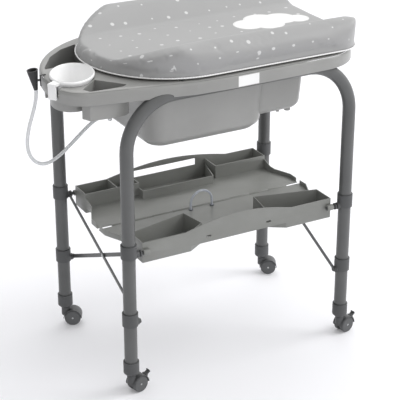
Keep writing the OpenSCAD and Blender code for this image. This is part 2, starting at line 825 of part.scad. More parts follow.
function sub(a, b) = [a[0] - b[0], a[1] - b[1], a[2] - b[2]];
function unit(v) = v/norm(v);
hose_n = len(hose_route);
hose_sides = 12;
hose_tangents = [for (i = [0:hose_n - 1])
    unit(sub(hose_route[min(i + 1, hose_n - 1)], hose_route[max(i - 1, 0)]))];
hose_ring = [for (i = [0:hose_n - 1])
    let (u = unit(cross(hose_tangents[i], [0, 1, 0])), v = cross(hose_tangents[i], u))
    for (k = [0:hose_sides - 1])
        hose_route[i] + hose_d/2*(cos(k*360/hose_sides)*u + sin(k*360/hose_sides)*v)];
hose_faces = concat(
    [[for (k = [0:hose_sides - 1]) k]],
    [for (i = [0:hose_n - 2]) for (k = [0:hose_sides - 1])
        let (a = i*hose_sides + k, b = i*hose_sides + (k + 1) % hose_sides)
        [b, a, a + hose_sides, b + hose_sides]],
    [[for (k = [hose_sides - 1:-1:0]) (hose_n - 1)*hose_sides + k]]);

module hose() {
    color("whitesmoke") place() polyhedron(points = hose_ring, faces = hose_faces, convexity = 6);
}

module hose_nozzle() {
    color("#222222") place() translate([nozzle_x, nozzle_y, nozzle_low_z]) rotate([0, -8, 0]) difference() {
        cylinder(d1 = hose_d + 1, d2 = 31, h = nozzle_h);
        translate([0, 0, 8]) cylinder(d1 = hose_d - 4, d2 = 27, h = nozzle_h);
    }
}

clip_x = -508;

// A strap over the rim with a short arm that holds the nozzle.
module nozzle_clip() {
    color("#222222") place() translate([0, nozzle_y - 3, 0]) {
        translate([clip_x - 2, 0, rim_top_z - 30]) cube([1.5, 6, 31.5]);
        translate([clip_x - 2, 0, rim_top_z]) cube([16, 6, 1.5]);
        translate([clip_x - 11, 0, rim_top_z - 14]) cube([9.5, 6, 4]);
    }
}

// ---- Assembly ----

frame_arch(-leg_y);  // front_arch
frame_arch(leg_y);  // rear_arch
collar_pair(-leg_y, collar_up_z, shelf_pivot_z, ear_b_x, shelf_pin_d);  // collars_upper_front
collar_pair(leg_y, collar_up_z, shelf_pivot_z, ear_a_x, shelf_pin_d);  // collars_upper_rear
collar_pair(-leg_y, collar_low_z, brace_low_z, ear_a_x, brace_pin_d);  // collars_lower_front
collar_pair(leg_y, collar_low_z, brace_low_z, ear_b_x, brace_pin_d);  // collars_lower_rear
pin_pair(-leg_y, shelf_pivot_z, shelf_pin_d, shelf_half_x - boss_len, bar_b_x - bar_t/2 - gap, 4, 10);  // shelf_pins_front
pin_pair(leg_y, shelf_pivot_z, shelf_pin_d, shelf_half_x - boss_len, bar_a_x - bar_t/2 - gap, 6, 10);  // shelf_pins_rear
pin_pair(-leg_y, brace_low_z, brace_pin_d, bar_a_x - bar_t/2 - gap - 3, bar_a_x - bar_t/2 - gap, 3, 7);  // brace_pins_front
pin_pair(leg_y, brace_low_z, brace_pin_d, bar_b_x - bar_t/2 - gap - 3, bar_b_x - bar_t/2 - gap, 3, 7);  // brace_pins_rear
brace(-1, bar_a_x, true);  // brace_a_left
brace(1, bar_a_x, true);  // brace_a_right
brace(-1, bar_b_x, false);  // brace_b_left
brace(1, bar_b_x, false);  // brace_b_right
rivet(-1, bar_a_x, 1);  // rivet_a_left
rivet(1, bar_a_x, 1);  // rivet_a_right
rivet(-1, bar_b_x, -1);  // rivet_b_left
rivet(1, bar_b_x, -1);  // rivet_b_right
shelf_front();
shelf_rear();
shelf_hinge_pin();
pull_loop();
loop_anchors();
sleeve_pair(-leg_y);  // sleeves_front
sleeve_pair(leg_y);  // sleeves_rear
hood(-1, -1, front_castor_deg);  // hood_fl
hood(1, -1, front_castor_deg);  // hood_fr
hood(-1, 1, rear_castor_deg);  // hood_rl
hood(1, 1, rear_castor_deg);  // hood_rr
stem(-1, -1);  // stem_fl
stem(1, -1);  // stem_fr
stem(-1, 1);  // stem_rl
stem(1, 1);  // stem_rr
axle(-1, -1, front_castor_deg);  // axle_fl
axle(1, -1, front_castor_deg);  // axle_fr
axle(-1, 1, rear_castor_deg);  // axle_rl
axle(1, 1, rear_castor_deg);  // axle_rr
wheels(-1, -1, front_castor_deg);  // wheels_fl
wheels(1, -1, front_castor_deg);  // wheels_fr
wheels(-1, 1, rear_castor_deg);  // wheels_rl
wheels(1, 1, rear_castor_deg);  // wheels_rr
brake(-1, -1, front_castor_deg);  // brake_fl
brake(1, -1, front_castor_deg);  // brake_fr
bath();
saddles();
bath_feet();
name_plate();
drain_spout();
drain_plug();
mat_board();
mat_cushion();
mat_pads();
hinge_leaves_bath();
hinge_leaves_mat();
mat_hinge_pins();
cup();
hose();
hose_nozzle();
nozzle_clip();
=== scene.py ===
import json
from math import cos, pi, radians, sin

import bmesh
import bpy
from mathutils import Matrix, Vector

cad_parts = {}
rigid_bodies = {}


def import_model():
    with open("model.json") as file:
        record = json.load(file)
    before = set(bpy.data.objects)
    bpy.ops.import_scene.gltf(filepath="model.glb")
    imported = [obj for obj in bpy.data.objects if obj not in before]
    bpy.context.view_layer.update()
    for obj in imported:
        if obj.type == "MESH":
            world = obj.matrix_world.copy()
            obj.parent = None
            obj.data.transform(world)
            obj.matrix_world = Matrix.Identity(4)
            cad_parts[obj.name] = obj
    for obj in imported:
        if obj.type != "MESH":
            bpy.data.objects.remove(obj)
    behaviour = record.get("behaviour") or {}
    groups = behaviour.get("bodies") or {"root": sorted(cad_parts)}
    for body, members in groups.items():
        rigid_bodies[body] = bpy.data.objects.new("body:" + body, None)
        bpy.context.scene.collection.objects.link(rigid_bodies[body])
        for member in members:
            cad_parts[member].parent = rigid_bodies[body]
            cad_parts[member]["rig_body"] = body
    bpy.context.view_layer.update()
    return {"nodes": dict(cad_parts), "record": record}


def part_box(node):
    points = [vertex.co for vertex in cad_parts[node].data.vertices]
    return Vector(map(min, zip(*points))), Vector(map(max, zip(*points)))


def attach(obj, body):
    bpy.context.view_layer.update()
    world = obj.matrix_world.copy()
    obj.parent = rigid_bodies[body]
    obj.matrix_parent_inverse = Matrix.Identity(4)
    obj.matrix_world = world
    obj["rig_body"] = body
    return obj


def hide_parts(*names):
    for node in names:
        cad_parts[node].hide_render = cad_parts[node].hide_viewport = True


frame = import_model()
nodes = frame["nodes"]
MM = 0.001

# The stand's middle line: the part's origin sits beside it, because the tray sticks out to the left.
arch_low, arch_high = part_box("front_arch")
MIDDLE = (arch_low.x + arch_high.x) / 2


def at(x, y, z):
    """A point given in millimetres from the stand's middle, in the row frame in metres."""
    return Vector((x * MM + MIDDLE, y * MM, z * MM))


# ---------------------------------------------------------------- camera

CAMERA_PLACE = (-1.8634, -3.3609, 2.1848)
CAMERA_TURN = -28.93
CAMERA_DOWN = 24.43
LENS = 126.0

camera_data = bpy.data.cameras.new("camera")
camera_data.lens = LENS
camera_data.sensor_width = 36.0
camera_data.clip_end = 50.0
camera = bpy.data.objects.new("camera", camera_data)
camera.location = Vector(CAMERA_PLACE) + Vector((MIDDLE, 0, 0))
camera.rotation_euler = (radians(90 - CAMERA_DOWN), 0, radians(CAMERA_TURN))
bpy.context.scene.collection.objects.link(camera)
bpy.context.scene.camera = camera


# ---------------------------------------------------------------- small tools

def new_piece(name, bm=None, mesh=None):
    """A finished object at the origin, from a bmesh or a mesh."""
    if mesh is None:
        mesh = bpy.data.meshes.new(name)
        bm.to_mesh(mesh)
        bm.free()
    piece = bpy.data.objects.new(name, mesh)
    bpy.context.scene.collection.objects.link(piece)
    for face in mesh.polygons:
        face.use_smooth = True
    return piece


def baked(piece, name):
    """The piece with its modifiers applied."""
    graph = bpy.context.evaluated_depsgraph_get()
    mesh = bpy.data.meshes.new_from_object(piece.evaluated_get(graph))
    bpy.data.objects.remove(piece)
    mesh.name = name
    piece = bpy.data.objects.new(name, mesh)
    bpy.context.scene.collection.objects.link(piece)
    return piece


def sharp_by_angle(piece, degrees):
    """Smooth shading everywhere except over edges sharper than this."""
    bm = bmesh.new()
    bm.from_mesh(piece.data)
    for edge in bm.edges:
        edge.smooth = len(edge.link_faces) == 2 and edge.calc_face_angle(0) < radians(degrees)
    for face in bm.faces:
        face.smooth = True
    bm.to_mesh(piece.data)
    bm.free()


# Corners in degrees: the least that a chosen group rounds, that every piece rounds, and that shading keeps.
SOFT_CORNER = 20
HARD_CORNER = 32
SHADED_CORNER = 38


def sharp_edges(bm, angle):
    """The edges where two faces meet at more than this angle in degrees."""
    return [e for e in bm.edges if len(e.link_faces) == 2 and e.calc_face_angle(0) > radians(angle)]


def bevelled(bm, edges, width, segments, clamp):
    """Rounds these edges by width in mm."""
    if edges:
        bmesh.ops.bevel(bm, geom=edges, offset=width * MM, offset_type="OFFSET", segments=segments,
                        profile=0.5, affect="EDGES", clamp_overlap=clamp, loop_slide=False, material=-1)


def rounded(part, name, width, finish, groups=(), rework=None):
    """A moulded copy of a CAD node: doubles merged, flat areas joined, sharp edges rounded by width in mm.
    groups lists (chooser, width, segments): edges that get a larger radius of their own before the rest.
    rework takes the piece and gives it back changed."""
    bm = bmesh.new()
    bm.from_mesh(nodes[part].data)
    bmesh.ops.remove_doubles(bm, verts=bm.verts, dist=1e-5)
    bmesh.ops.dissolve_limit(bm, angle_limit=radians(0.6), verts=bm.verts, edges=bm.edges)
    for chooser, own_width, own_segments in groups:
        chosen = [e for e in sharp_edges(bm, SOFT_CORNER) if chooser(e)]
        bevelled(bm, chosen, own_width, own_segments, False)
    if width:
        bevelled(bm, sharp_edges(bm, HARD_CORNER), width, 3, True)
    bmesh.ops.recalc_face_normals(bm, faces=bm.faces)
    piece = new_piece(name, bm)
    if rework is not None:
        piece = rework(piece)
    sharp_by_angle(piece, SHADED_CORNER)
    return place_piece(piece, finish, nodes[part]["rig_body"], SLOTS[part], part)


SLOTS = {row["node"]: row["material_slot"] for row in frame["record"]["subparts"]}


def place_piece(piece, finish, body, slot, *replaced):
    """Gives the piece its finish and its body, and hides the CAD nodes that it stands for; slot is not used.
    """
    piece.data.materials.clear()
    piece.data.materials.append(finish)
    if replaced:
        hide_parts(*replaced)
    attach(piece, body)
    return piece


def colour(hex_value):
    """An sRGB hex value as a linear colour."""
    parts = [int(hex_value[i:i + 2], 16) / 255 for i in (1, 3, 5)]
    return [p / 12.92 if p <= 0.04045 else ((p + 0.055) / 1.055) ** 2.4 for p in parts] + [1.0]


def node(tree, kind, links=None, **settings):
    """Adds a node with its settings; links maps its inputs to values or to other nodes' outputs."""
    made = tree.nodes.new(kind)
    for key, value in settings.items():
        setattr(made, key, value)
    for key, value in (links or {}).items():
        if isinstance(value, bpy.types.NodeSocket):
            tree.links.new(value, made.inputs[key])
        else:
            made.inputs[key].default_value = value
    return made


def material(name):
    """A new material with its node tree and its shader."""
    made = bpy.data.materials.new(name)
    made.use_nodes = True
    tree = made.node_tree
    return made, tree, tree.nodes["Principled BSDF"]


def blend_colours(tree, factor, first, second):
    """Mixes two colours, each a value or another node's output."""
    mix = node(tree, "ShaderNodeMix", data_type="RGBA")
    tree.links.new(factor, mix.inputs["Factor"])
    for key, value in (("A", first), ("B", second)):
        socket = [s for s in mix.inputs if s.name == key and s.type == "RGBA"][0]
        if isinstance(value, bpy.types.NodeSocket):
            tree.links.new(value, socket)
        else:
            socket.default_value = value
    return [s for s in mix.outputs if s.type == "RGBA"][0]


def moulded(name, light, dark, roughness, grain_mm, bump_mm, coat=0.0):
    """Injection-moulded or sprayed surface: a soft tone drift, a fine grain in the height and the gloss."""
    made, tree, shader = material(name)
    where = node(tree, "ShaderNodeTexCoord").outputs["Object"]
    drift = node(tree, "ShaderNodeTexNoise",
                 {"Vector": where, "Scale": 9.0, "Detail": 3.0, "Roughness": 0.55})
    grain = node(tree, "ShaderNodeTexNoise", {"Vector": where, "Scale": 1 / (grain_mm * MM), "Detail": 2.0})
    reach = node(tree, "ShaderNodeMapRange",
                 {"Value": drift.outputs["Fac"], "From Min": 0.25, "From Max": 0.75})
    tint = blend_colours(tree, reach.outputs["Result"], colour(dark), colour(light))
    tree.links.new(tint, shader.inputs["Base Color"])
    gloss = node(tree, "ShaderNodeMapRange", {"Value": grain.outputs["Fac"], "To Min": roughness - 0.06,
                                              "To Max": roughness + 0.06})
    tree.links.new(gloss.outputs["Result"], shader.inputs["Roughness"])
    bump = node(tree, "ShaderNodeBump",
                {"Height": grain.outputs["Fac"], "Strength": 0.35, "Distance": bump_mm * MM})
    tree.links.new(bump.outputs["Normal"], shader.inputs["Normal"])
    if coat:
        shader.inputs["Coat Weight"].default_value = coat
        shader.inputs["Coat Roughness"].default_value = 0.2
    return made


# ---------------------------------------------------------------- materials

# Powder-coated steel tube: a dark warm grey with a fine orange-peel texture and a low sheen.
powder_coat = moulded("powder_coated_steel_tube", "#5c5d5d", "#525353", 0.42, 1.6, 0.05, coat=0.15)
# Moulded nylon collars: a shade darker than the tube, with a dry, even grain.
nylon_collar = moulded("moulded_nylon_collar", "#515253", "#48494a", 0.5, 1.2, 0.05)
# Moulded ABS covers of the castors: nearly black and slightly shiny.
abs_cover = moulded("moulded_abs_cover", "#505152", "#464748", 0.4, 1.4, 0.04)
# Moulded polyurethane tread: mid grey, dull, a little dusty.
tread = moulded("polyurethane_tread", "#5c5d5e", "#515253", 0.62, 1.8, 0.08)
# Injection-moulded polypropylene of the shelf: mid grey, satin, with soft flow marks.
polypropylene_shelf = moulded("moulded_polypropylene_shelf", "#838481", "#7a7b77", 0.38, 1.1, 0.05, coat=0.1)
# Injection-moulded polypropylene of the bath: lighter grey with a soft gloss.
polypropylene_bath = moulded("moulded_polypropylene_bath", "#959593", "#8c8c8a", 0.34, 1.3, 0.04, coat=0.15)
# White polypropylene of the rinse cup: bright and smooth.
white_cup = moulded("white_polypropylene_cup", "#f4f4f4", "#ececec", 0.3, 1.5, 0.02, coat=0.2)
# Black soft rubber of the hose's nozzle, the clip and the plug.
black_rubber = moulded("black_soft_rubber", "#2b2b2c", "#232324", 0.5, 1.0, 0.06)
# Melamine-faced board under the mat: pale and dull.
melamine = moulded("melamine_faced_board", "#c9c7c2", "#c0beb8", 0.6, 2.0, 0.03)
# Grey ABS buttons that hold the pull loop.
abs_button = moulded("abs_button", "#5f636a", "#54585f", 0.4, 1.0, 0.03)
# Printed paper label under clear film, left blank: white and glossy.
label_film = moulded("blank_label_film", "#f0f0ef", "#e6e6e5", 0.25, 2.5, 0.01, coat=0.4)


def zinc_steel():
    """Zinc-plated steel of pins and hinges: pale metal with fine turning lines."""
    made, tree, shader = material("zinc_plated_steel")
    where = node(tree, "ShaderNodeTexCoord").outputs["Object"]
    lines = node(tree, "ShaderNodeTexNoise", {"Vector": where, "Scale": 900.0, "Detail": 1.0})
    gloss = node(tree, "ShaderNodeMapRange", {"Value": lines.outputs["Fac"], "To Min": 0.22, "To Max": 0.38})
    tree.links.new(gloss.outputs["Result"], shader.inputs["Roughness"])
    shader.inputs["Base Color"].default_value = colour("#b9babb")
    shader.inputs["Metallic"].default_value = 1.0
    return made


def clear_plastic(name, tint, roughness, through):
    """Soft clear plastic: light passes through it with a milky haze and small ripples."""
    made, tree, shader = material(name)
    where = node(tree, "ShaderNodeTexCoord").outputs["Object"]
    haze = node(tree, "ShaderNodeTexNoise", {"Vector": where, "Scale": 60.0, "Detail": 2.0})
    tint_now = blend_colours(tree, haze.outputs["Fac"], colour(tint), colour("#f4f5f6"))
    tree.links.new(tint_now, shader.inputs["Base Color"])
    bump = node(tree, "ShaderNodeBump",
                {"Height": haze.outputs["Fac"], "Strength": 0.2, "Distance": 0.2 * MM})
    tree.links.new(bump.outputs["Normal"], shader.inputs["Normal"])
    shader.inputs["Roughness"].default_value = roughness
    shader.inputs["IOR"].default_value = 1.45
    shader.inputs["Transmission Weight"].default_value = through
    return made


steel = zinc_steel()
clear_hose = clear_plastic("clear_pvc_hose", "#dfe2e4", 0.25, 0.35)
clear_loop = clear_plastic("clear_bluish_vinyl_loop", "#b9c3d8", 0.2, 0.45)

# ---------------------------------------------------------------- hose

HOSE_ROUTE = [
    (-524, -20, 890), (-524, -20, 875), (-526, -18, 855), (-532, -13, 826), (-540, -7, 795),
    (-546, -1, 764), (-548, 5, 733), (-545, 10, 704), (-534, 15, 678), (-516, 20, 658),
    (-494, 25, 648), (-470, 31, 648), (-446, 36, 656), (-422, 41, 669), (-398, 45, 685),
    (-374, 49, 702), (-350, 52, 719), (-328, 55, 733), (-312, 56, 740), (-302, 56, 742),
]
HOSE_WIDE = 10 * MM


def hose():
    """The drain hose as one open curve from the spout to the nozzle, with its exit and its length."""
    curve = bpy.data.curves.new("drain_hose", "CURVE")
    curve.dimensions = "3D"
    curve.bevel_depth = HOSE_WIDE / 2
    curve.bevel_resolution = 5
    curve.resolution_u = 6
    curve.use_fill_caps = True
    line = curve.splines.new("NURBS")
    line.points.add(len(HOSE_ROUTE) - 1)
    route = [at(*p) for p in reversed(HOSE_ROUTE)]
    for point, place in zip(line.points, route):
        point.co = (*place, 1.0)
    line.order_u = 4
    line.use_endpoint_u = True
    curve.materials.append(clear_hose)
    piece = bpy.data.objects.new("drain_hose", curve)
    bpy.context.scene.collection.objects.link(piece)
    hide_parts("hose")
    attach(piece, "tub")
    length = sum((b - a).length for a, b in zip(route, route[1:]))
    return piece, route[0], length


hose_piece, hose_exit, hose_length = hose()

# ---------------------------------------------------------------- stand

for name in ("collars_upper_front", "collars_upper_rear", "collars_lower_front", "collars_lower_rear"):
    rounded(name, name + "_moulded", 1.4, nylon_collar)
for name in ("sleeves_front", "sleeves_rear"):
    rounded(name, name + "_moulded", 1.6, nylon_collar)
for name in ("shelf_pins_front", "shelf_pins_rear", "brace_pins_front", "brace_pins_rear"):
    rounded(name, name + "_turned", 1.0, nylon_collar)
for name in ("brace_a_left", "brace_a_right", "brace_b_left", "brace_b_right"):
    rounded(name, name + "_pressed", 0.6, powder_coat)
for name in ("rivet_a_left", "rivet_a_right", "rivet_b_left", "rivet_b_right"):
    rounded(name, name + "_headed", 0.5, steel)

# ---------------------------------------------------------------- castors

for corner in ("fl", "fr", "rl", "rr"):
    rounded("hood_" + corner, "hood_" + corner + "_moulded", 1.6, abs_cover)
    rounded("wheels_" + corner, "wheels_" + corner + "_moulded", 2.2, tread)
for corner in ("fl", "fr"):
    rounded("brake_" + corner, "brake_" + corner + "_moulded", 1.0, abs_cover)

# ---------------------------------------------------------------- shelf

rounded("shelf_front", "shelf_front_moulded", 1.1, polypropylene_shelf)
rounded("shelf_rear", "shelf_rear_moulded", 1.1, polypropylene_shelf)

# ---------------------------------------------------------------- bath

RIM_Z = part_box("bath")[1].z
RIM_ROUND = 11.0
TUB_ROUND = 9.0
# Heights in mm where the deep and the shallow end's walls turn into their floors.
TUB_LEVELS = (718, 740, 757, 773)


def outline_arc(x, y, radius, first, last, steps):
    """Points in mm along an arc, its ends given in degrees."""
    angles = [radians(first + (last - first) * i / steps) for i in range(steps + 1)]
    return [(x + radius * cos(a), y + radius * sin(a)) for a in angles]


def rim_outline(inset):
    """The rim's outline in mm, drawn in by inset."""
    return (outline_arc(257, -116, 150 - inset, -90, 0, 12) + outline_arc(257, 116, 150 - inset, 0, 90, 12)
            + [(-40, 272 - inset)] + outline_arc(-157, -90, 356 - inset, 90, 178, 16)
            + outline_arc(-423, -122, 90 - inset, 180, 250, 8) + [(-160, inset - 266), (-40, inset - 272)])


def round_the_rim(piece):
    """Cuts the rim's outer top corner to a quarter round, with a ring whose section is that corner."""
    turns = [step * pi / 12 for step in range(7)]
    profile = [(RIM_ROUND * (1 - sin(a)), RIM_ROUND * (cos(a) - 1)) for a in turns]
    profile += [(-5, -RIM_ROUND), (-5, 5), (RIM_ROUND, 5)]
    bm = bmesh.new()
    rings = [[bm.verts.new(at(x, y, RIM_Z / MM + rise)) for x, y in rim_outline(inset)]
             for inset, rise in profile]
    for one, two in zip(rings, rings[1:] + rings[:1]):
        for i in range(len(one)):
            bm.faces.new((one[i - 1], one[i], two[i], two[i - 1]))
    bmesh.ops.recalc_face_normals(bm, faces=bm.faces)
    ring = new_piece("rim_corner", bm)
    cut = piece.modifiers.new("round rim", "BOOLEAN")
    cut.operation = "DIFFERENCE"
    cut.solver = "EXACT"
    cut.object = ring
    name = piece.name
    piece = baked(piece, name)
    bpy.data.objects.remove(ring)
    return piece


def tub_low(edge):
    """The tub's lower outer edges, where the walls turn into the floor."""
    low, high = sorted(v.co.z for v in edge.verts)
    near = min(abs((low + high) / 2 - z * MM) for z in TUB_LEVELS)
    return high - low < 0.3 * MM and near < 1.2 * MM and edge.is_convex


rounded("bath", "bath_moulded", 0, polypropylene_bath, groups=((tub_low, TUB_ROUND, 4),),
        rework=round_the_rim)

# ---------------------------------------------------------------- cup

CUP_MIDDLE = (-440, -75)
CUP_DEG = 62
CUP_A, CUP_B = 83.5, 61.5
HANDLE_TURN = 28


def oval_cup():
    """A smooth oval cup: one closed wall of loops up the outside, over the lip and down the inside."""
    low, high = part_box("cup")
    top, bottom = high.z / MM, low.z / MM
    outside = [(30, bottom + 1.0), (26, bottom + 0.2), (23, bottom + 1.5), (21, bottom + 5),
               (15, bottom + 28), (9, bottom + 52), (5.5, bottom + 66), (3.5, top - 8)]
    lip = [(0.6, top - 7), (0, top - 4.5), (0.6, top - 2), (2, top - 0.4), (3.6, top - 0.2), (4.8, top - 2)]
    inside = [(6, top - 8), (12, bottom + 52), (18, bottom + 28), (24, bottom + 7), (28, bottom + 4)]
    profile = outside + lip + inside
    bm = bmesh.new()
    ring = bmesh.ops.create_circle(bm, cap_ends=False, segments=72, radius=1.0)["verts"]
    edges = list({e for v in ring for e in v.link_edges})
    turn = Matrix.Rotation(radians(CUP_DEG), 4, "Z")
    shapes = [v.co.copy() for v in ring]

    def lay(verts, inset, z):
        for v, s in zip(verts, shapes):
            flat = turn @ Vector(((CUP_A - inset) * s.x, (CUP_B - inset) * s.y, 0))
            v.co = at(CUP_MIDDLE[0] + flat.x, CUP_MIDDLE[1] + flat.y, z)

    lay(ring, *profile[0])
    first, last = edges, edges
    order = ring
    for inset, z in profile[1:]:
        made = bmesh.ops.extrude_edge_only(bm, edges=last)["geom"]
        fresh = [g for g in made if isinstance(g, bmesh.types.BMVert)]
        lookup = {}
        for v in fresh:
            for e in v.link_edges:
                other = e.other_vert(v)
                if other in order:
                    lookup[other] = v
        order = [lookup[v] for v in order]
        lay(order, inset, z)
        last = [g for g in made if isinstance(g, bmesh.types.BMEdge)
                and g.verts[0] in fresh and g.verts[1] in fresh]
    bmesh.ops.contextual_create(bm, geom=first)
    bmesh.ops.contextual_create(bm, geom=last)
    bmesh.ops.recalc_face_normals(bm, faces=bm.faces)
    add_handle(bm, top)
    return new_piece("rinse_cup", bm)


def add_handle(bm, top):
    """A flat strap that leaves the lip and hooks down over the bath's rim."""
    turn = Matrix.Rotation(radians(180 + CUP_DEG - HANDLE_TURN), 4, "Z")
    for size, middle in (((31, 22, 5), (87.5, 0, top - 5.5)), ((4, 22, 40), (100, 0, top - 24))):
        made = bmesh.ops.create_cube(bm, size=1.0)["verts"]
        for v in made:
            flat = turn @ Vector((v.co.x * size[0] + middle[0], v.co.y * size[1], 0))
            v.co = at(CUP_MIDDLE[0] + flat.x, CUP_MIDDLE[1] + flat.y, v.co.z * size[2] + middle[2])
        edges = list({e for v in made for e in v.link_edges})
        bmesh.ops.bevel(bm, geom=edges, offset=1.3 * MM, segments=3, profile=0.5, affect="EDGES",
                        material=-1)


cup = oval_cup()
sharp_by_angle(cup, 50)
place_piece(cup, white_cup, "rinse_cup", SLOTS["cup"], "cup")

# ---------------------------------------------------------------- mat

def mat_cloth():
    """Wipe-clean coated cotton of the mat: pale grey, a fine weave, small white stars and a white cloud."""
    made, tree, shader = material("coated_cotton_mat")
    flat = node(tree, "ShaderNodeAttribute", attribute_name="cloth").outputs["Vector"]
    where = node(tree, "ShaderNodeTexCoord").outputs["Object"]
    # Stars stand about 62 mm apart and are about 12 mm wide.
    spacing = 62 * MM
    stars = node(tree, "ShaderNodeTexVoronoi", {"Vector": flat, "Scale": 1 / spacing, "Randomness": 0.45},
                 voronoi_dimensions="2D", feature="F1")
    scaled = node(tree, "ShaderNodeVectorMath", {0: flat, 1: (1 / spacing,) * 3}, operation="MULTIPLY")
    centre = node(tree, "ShaderNodeVectorMath", {0: stars.outputs["Position"], 1: (1.0, 1.0, 0.0)},
                  operation="MULTIPLY")
    away = node(tree, "ShaderNodeVectorMath", {0: scaled.outputs[0], 1: centre.outputs[0]},
                operation="SUBTRACT")
    parts = node(tree, "ShaderNodeSeparateXYZ", {0: away.outputs[0]})
    angle = node(tree, "ShaderNodeMath", {0: parts.outputs["Y"], 1: parts.outputs["X"]}, operation="ARCTAN2")
    five = node(tree, "ShaderNodeMath", {0: angle.outputs[0], 1: 5.0}, operation="MULTIPLY")
    points = node(tree, "ShaderNodeMath", {0: five.outputs[0]}, operation="COSINE")
    reach = node(tree, "ShaderNodeMath", {0: points.outputs[0], 1: 0.026, 2: 0.078},
                 operation="MULTIPLY_ADD")
    star = node(tree, "ShaderNodeMath", {0: reach.outputs[0], 1: stars.outputs["Distance"]},
                operation="SUBTRACT")
    star_mask = node(tree, "ShaderNodeMapRange",
                     {"Value": star.outputs[0], "From Min": 0.0, "From Max": 0.02})
    # A plain cloud of five round lobes, about 250 mm long.
    lobes = [(150, -10, 46), (205, 14, 52), (262, -2, 50), (206, -30, 48), (308, -26, 34)]
    cloud = None
    for x, y, r in lobes:
        spot = node(tree, "ShaderNodeVectorMath", {0: where, 1: at(x, y, 0)}, operation="SUBTRACT")
        plan = node(tree, "ShaderNodeVectorMath", {0: spot.outputs[0], 1: (1.0, 1.0, 0.0)},
                    operation="MULTIPLY")
        far = node(tree, "ShaderNodeVectorMath", {0: plan.outputs[0]}, operation="LENGTH")
        lobe = node(tree, "ShaderNodeMath", {0: r * MM, 1: far.outputs["Value"]}, operation="SUBTRACT")
        if cloud is None:
            cloud = lobe
        else:
            cloud = node(tree, "ShaderNodeMath", {0: cloud.outputs[0], 1: lobe.outputs[0]},
                         operation="MAXIMUM")
    cloud_mask = node(tree, "ShaderNodeMapRange",
                      {"Value": cloud.outputs[0], "From Min": 0.0, "From Max": 1.2 * MM})
    # A stitched outline, 3 mm inside the cloud's edge.
    edge = node(tree, "ShaderNodeMath", {0: cloud.outputs[0], 1: 3.5 * MM}, operation="SUBTRACT")
    edge = node(tree, "ShaderNodeMath", {0: edge.outputs[0]}, operation="ABSOLUTE")
    seam = node(tree, "ShaderNodeMapRange", {"Value": edge.outputs[0], "From Min": 0.6 * MM,
                                             "From Max": 1.6 * MM, "To Min": 1.0, "To Max": 0.0})
    # The real weave is too fine to show, so it is drawn at 2 mm.
    weave = node(tree, "ShaderNodeTexWave",
                 {"Vector": flat, "Scale": 1 / (2 * MM) / 6.28, "Distortion": 0.6})
    drift = node(tree, "ShaderNodeTexNoise", {"Vector": where, "Scale": 5.0, "Detail": 3.0})
    ground = blend_colours(tree, drift.outputs["Fac"], colour("#939393"), colour("#9d9d9d"))
    printed = blend_colours(tree, star_mask.outputs["Result"], ground, colour("#c9c9c9"))
    printed = blend_colours(tree, cloud_mask.outputs["Result"], printed, colour("#e9e9e8"))
    printed = blend_colours(tree, seam.outputs["Result"], printed, colour("#cfcfce"))
    tree.links.new(printed, shader.inputs["Base Color"])
    gloss = node(tree, "ShaderNodeMapRange",
                 {"Value": weave.outputs["Fac"], "To Min": 0.42, "To Max": 0.52})
    tree.links.new(gloss.outputs["Result"], shader.inputs["Roughness"])
    bump = node(tree, "ShaderNodeBump",
                {"Height": weave.outputs["Fac"], "Strength": 0.15, "Distance": 0.15 * MM})
    tree.links.new(bump.outputs["Normal"], shader.inputs["Normal"])
    shader.inputs["Sheen Weight"].default_value = 0.15
    return made


def piping_cloth():
    """White bias binding round the mat's lower edge, with its cord's twist showing through."""
    made, tree, shader = material("white_bias_binding")
    where = node(tree, "ShaderNodeTexCoord").outputs["Object"]
    twist = node(tree, "ShaderNodeTexWave", {"Vector": where, "Scale": 40.0, "Distortion": 1.0})
    tint = blend_colours(tree, twist.outputs["Fac"], colour("#e3e3e3"), colour("#efefef"))
    tree.links.new(tint, shader.inputs["Base Color"])
    bump = node(tree, "ShaderNodeBump",
                {"Height": twist.outputs["Fac"], "Strength": 0.2, "Distance": 0.3 * MM})
    tree.links.new(bump.outputs["Normal"], shader.inputs["Normal"])
    shader.inputs["Roughness"].default_value = 0.6
    return made


# Rounds of smoothing, the furthest that air moves the cloth, and the height of the strip above the base seam.
SOFTENING = 7
MOST_AIR = 7 * MM
SEAM_STRIP = 16 * MM
CLOTH_FRAMES = 14
MAT_CORNER = 70 * MM


def padded_mat():
    """The cushion: its CAD solid remeshed, its edges softened, and blown up by a short cloth run."""
    low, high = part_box("mat_cushion")
    piece = new_piece("mat_start", mesh=nodes["mat_cushion"].data.copy())
    remesh = piece.modifiers.new("even", "REMESH")
    remesh.mode = "VOXEL"
    remesh.voxel_size = 6 * MM
    piece = baked(piece, "mat_even")
    solid = [v.co.copy() for v in piece.data.vertices]
    bm = bmesh.new()
    bm.from_mesh(piece.data)
    for _ in range(SOFTENING):
        bmesh.ops.smooth_vert(bm, verts=bm.verts, factor=0.5,
                              use_axis_x=True, use_axis_y=True, use_axis_z=True)
    bm.to_mesh(piece.data)
    bm.free()
    start = [v.co.copy() for v in piece.data.vertices]
    blow_up(piece, start)
    # The seam along the base stays where the solid's lower edge is.
    for v, base in zip(piece.data.vertices, solid):
        share = min(1.0, max(0.0, 1 - (base.z - low.z) / SEAM_STRIP))
        v.co = v.co.lerp(base, share)
    fit_inside(piece, low, high)
    finer = piece.modifiers.new("finer", "SUBSURF")
    finer.levels = 1
    finer.render_levels = 1
    piece = baked(piece, "changing_mat")
    lay_cloth(piece, high)
    for face in piece.data.polygons:
        face.use_smooth = True
    return piece


